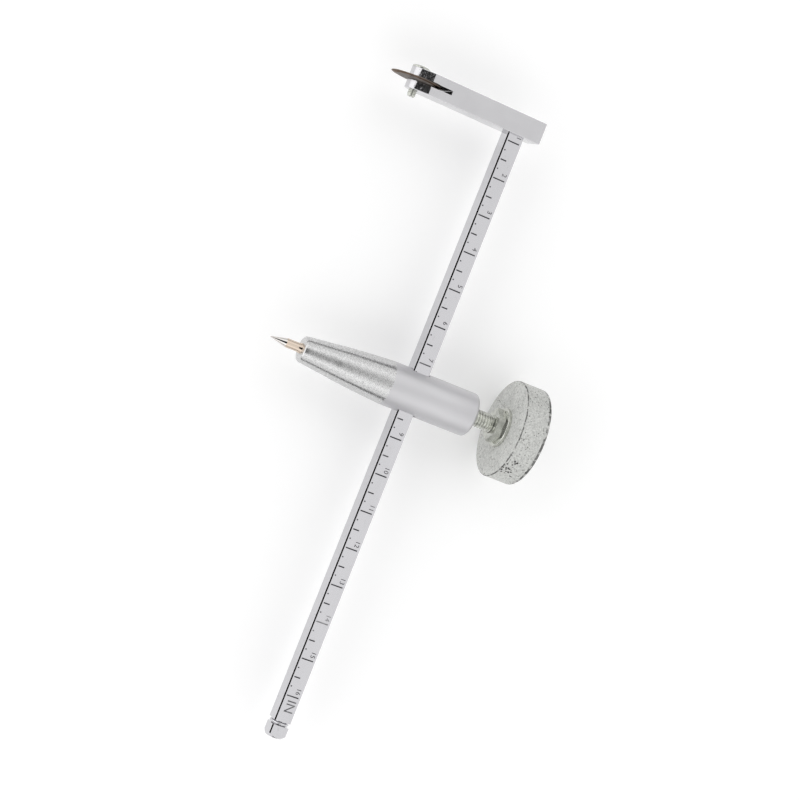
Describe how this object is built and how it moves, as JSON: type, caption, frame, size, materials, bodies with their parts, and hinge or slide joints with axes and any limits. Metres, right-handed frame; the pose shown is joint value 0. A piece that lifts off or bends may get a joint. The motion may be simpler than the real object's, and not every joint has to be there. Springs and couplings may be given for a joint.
{
  "type": "marking gauge",
  "caption": "Circle marking gauge: handle with a centre pin, a graduated square beam that slides through it, a fork head with a bevelled cutting wheel, and a clamp screw with a round knob.",
  "frame": {"origin": "on the handle's axis at the nose face, where the centre pin comes out", "axes": "+X along the handle towards the knob, +Y along the beam towards the cutter head, +Z square to both, on the side of the scale"},
  "size_m": [0.0936, 0.2155, 0.033],
  "materials": {
    "handle_metal": "turned taper, satin barrel",
    "tool_steel": "ground, straw tint",
    "beam_steel": "satin plated",
    "ring_steel": "bright wire",
    "head_metal": "satin",
    "wheel_steel": "ground, straw tint",
    "plated_steel": "bright zinc plate",
    "cast_metal": "turned casting with pits"
  },
  "bodies": {
    "handle": {"handle_body": "handle_metal", "centre_pin": "tool_steel"},
    "beam": {"beam": "beam_steel", "stop_ring": "ring_steel", "head_block": "head_metal", "axle_screw": "plated_steel"},
    "wheel": {"cutter_wheel": "wheel_steel"},
    "screw": {"clamp_stud": "plated_steel"},
    "knob": {"lock_nut": "plated_steel", "knob_washer": "plated_steel", "knob": "cast_metal"}
  },
  "joints": [
    {"name": "beam_slide", "type": "slide", "parent": "handle", "child": "beam", "axis": [0, 1, 0], "range_m": [-0.0809, 0.106]},
    {"name": "wheel_spin", "type": "hinge", "parent": "beam", "child": "wheel", "pos_m": [0.0028, 0.092, 0], "axis": [0, 1, 0], "continuous": true},
    {"name": "clamp_travel", "type": "slide", "parent": "handle", "child": "screw", "axis": [1, 0, 0], "range_m": [0, 0.005]},
    {"name": "knob_turn", "type": "hinge", "parent": "screw", "child": "knob", "pos_m": [0.0787, 0, 0], "axis": [1, 0, 0], "range_deg": [0, 1800]}
  ],
  "couplings": [
    {"joint": "clamp_travel", "follows": "knob_turn", "m_per_rad": 0.00015915}
  ]
}
